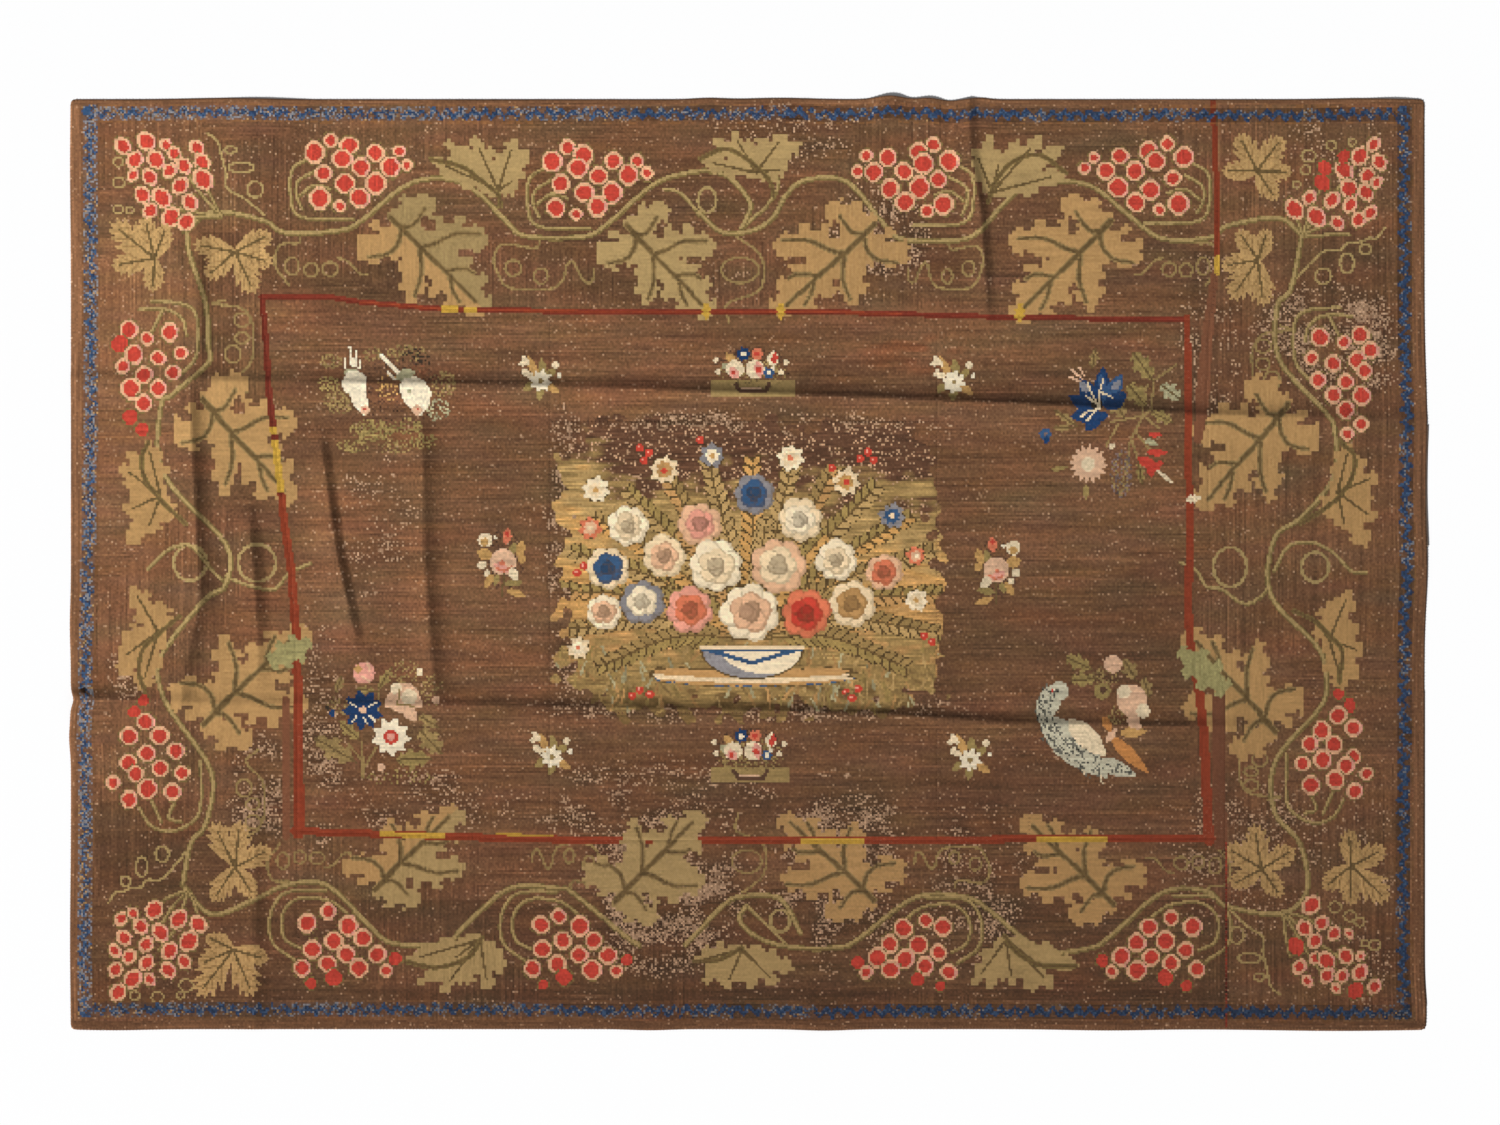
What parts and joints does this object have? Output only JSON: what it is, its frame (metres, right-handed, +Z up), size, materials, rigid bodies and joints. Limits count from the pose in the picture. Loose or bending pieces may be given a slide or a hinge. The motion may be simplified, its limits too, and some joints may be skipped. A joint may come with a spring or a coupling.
{
  "type": "needlework rug",
  "caption": "Large rectangular cross-stitched wool rug with a narrow turned hem, lying flat with the soft creases it was stored in.",
  "frame": {"origin": "centre of the rug's rectangle, on the floor it lies on", "axes": "+X along the rug's length, +Y towards its upper end as seen from above, +Z up"},
  "size_m": [3.05, 2.1, 0.0119],
  "materials": {
    "needlework_wool": "worn, faded cross-stitch in brown, tan, sage green, coral red and blue wool on canvas, matt, with pale worn specks"
  },
  "bodies": {
    "root": {"rug_cloth": "needlework_wool"}
  },
  "joints": []
}
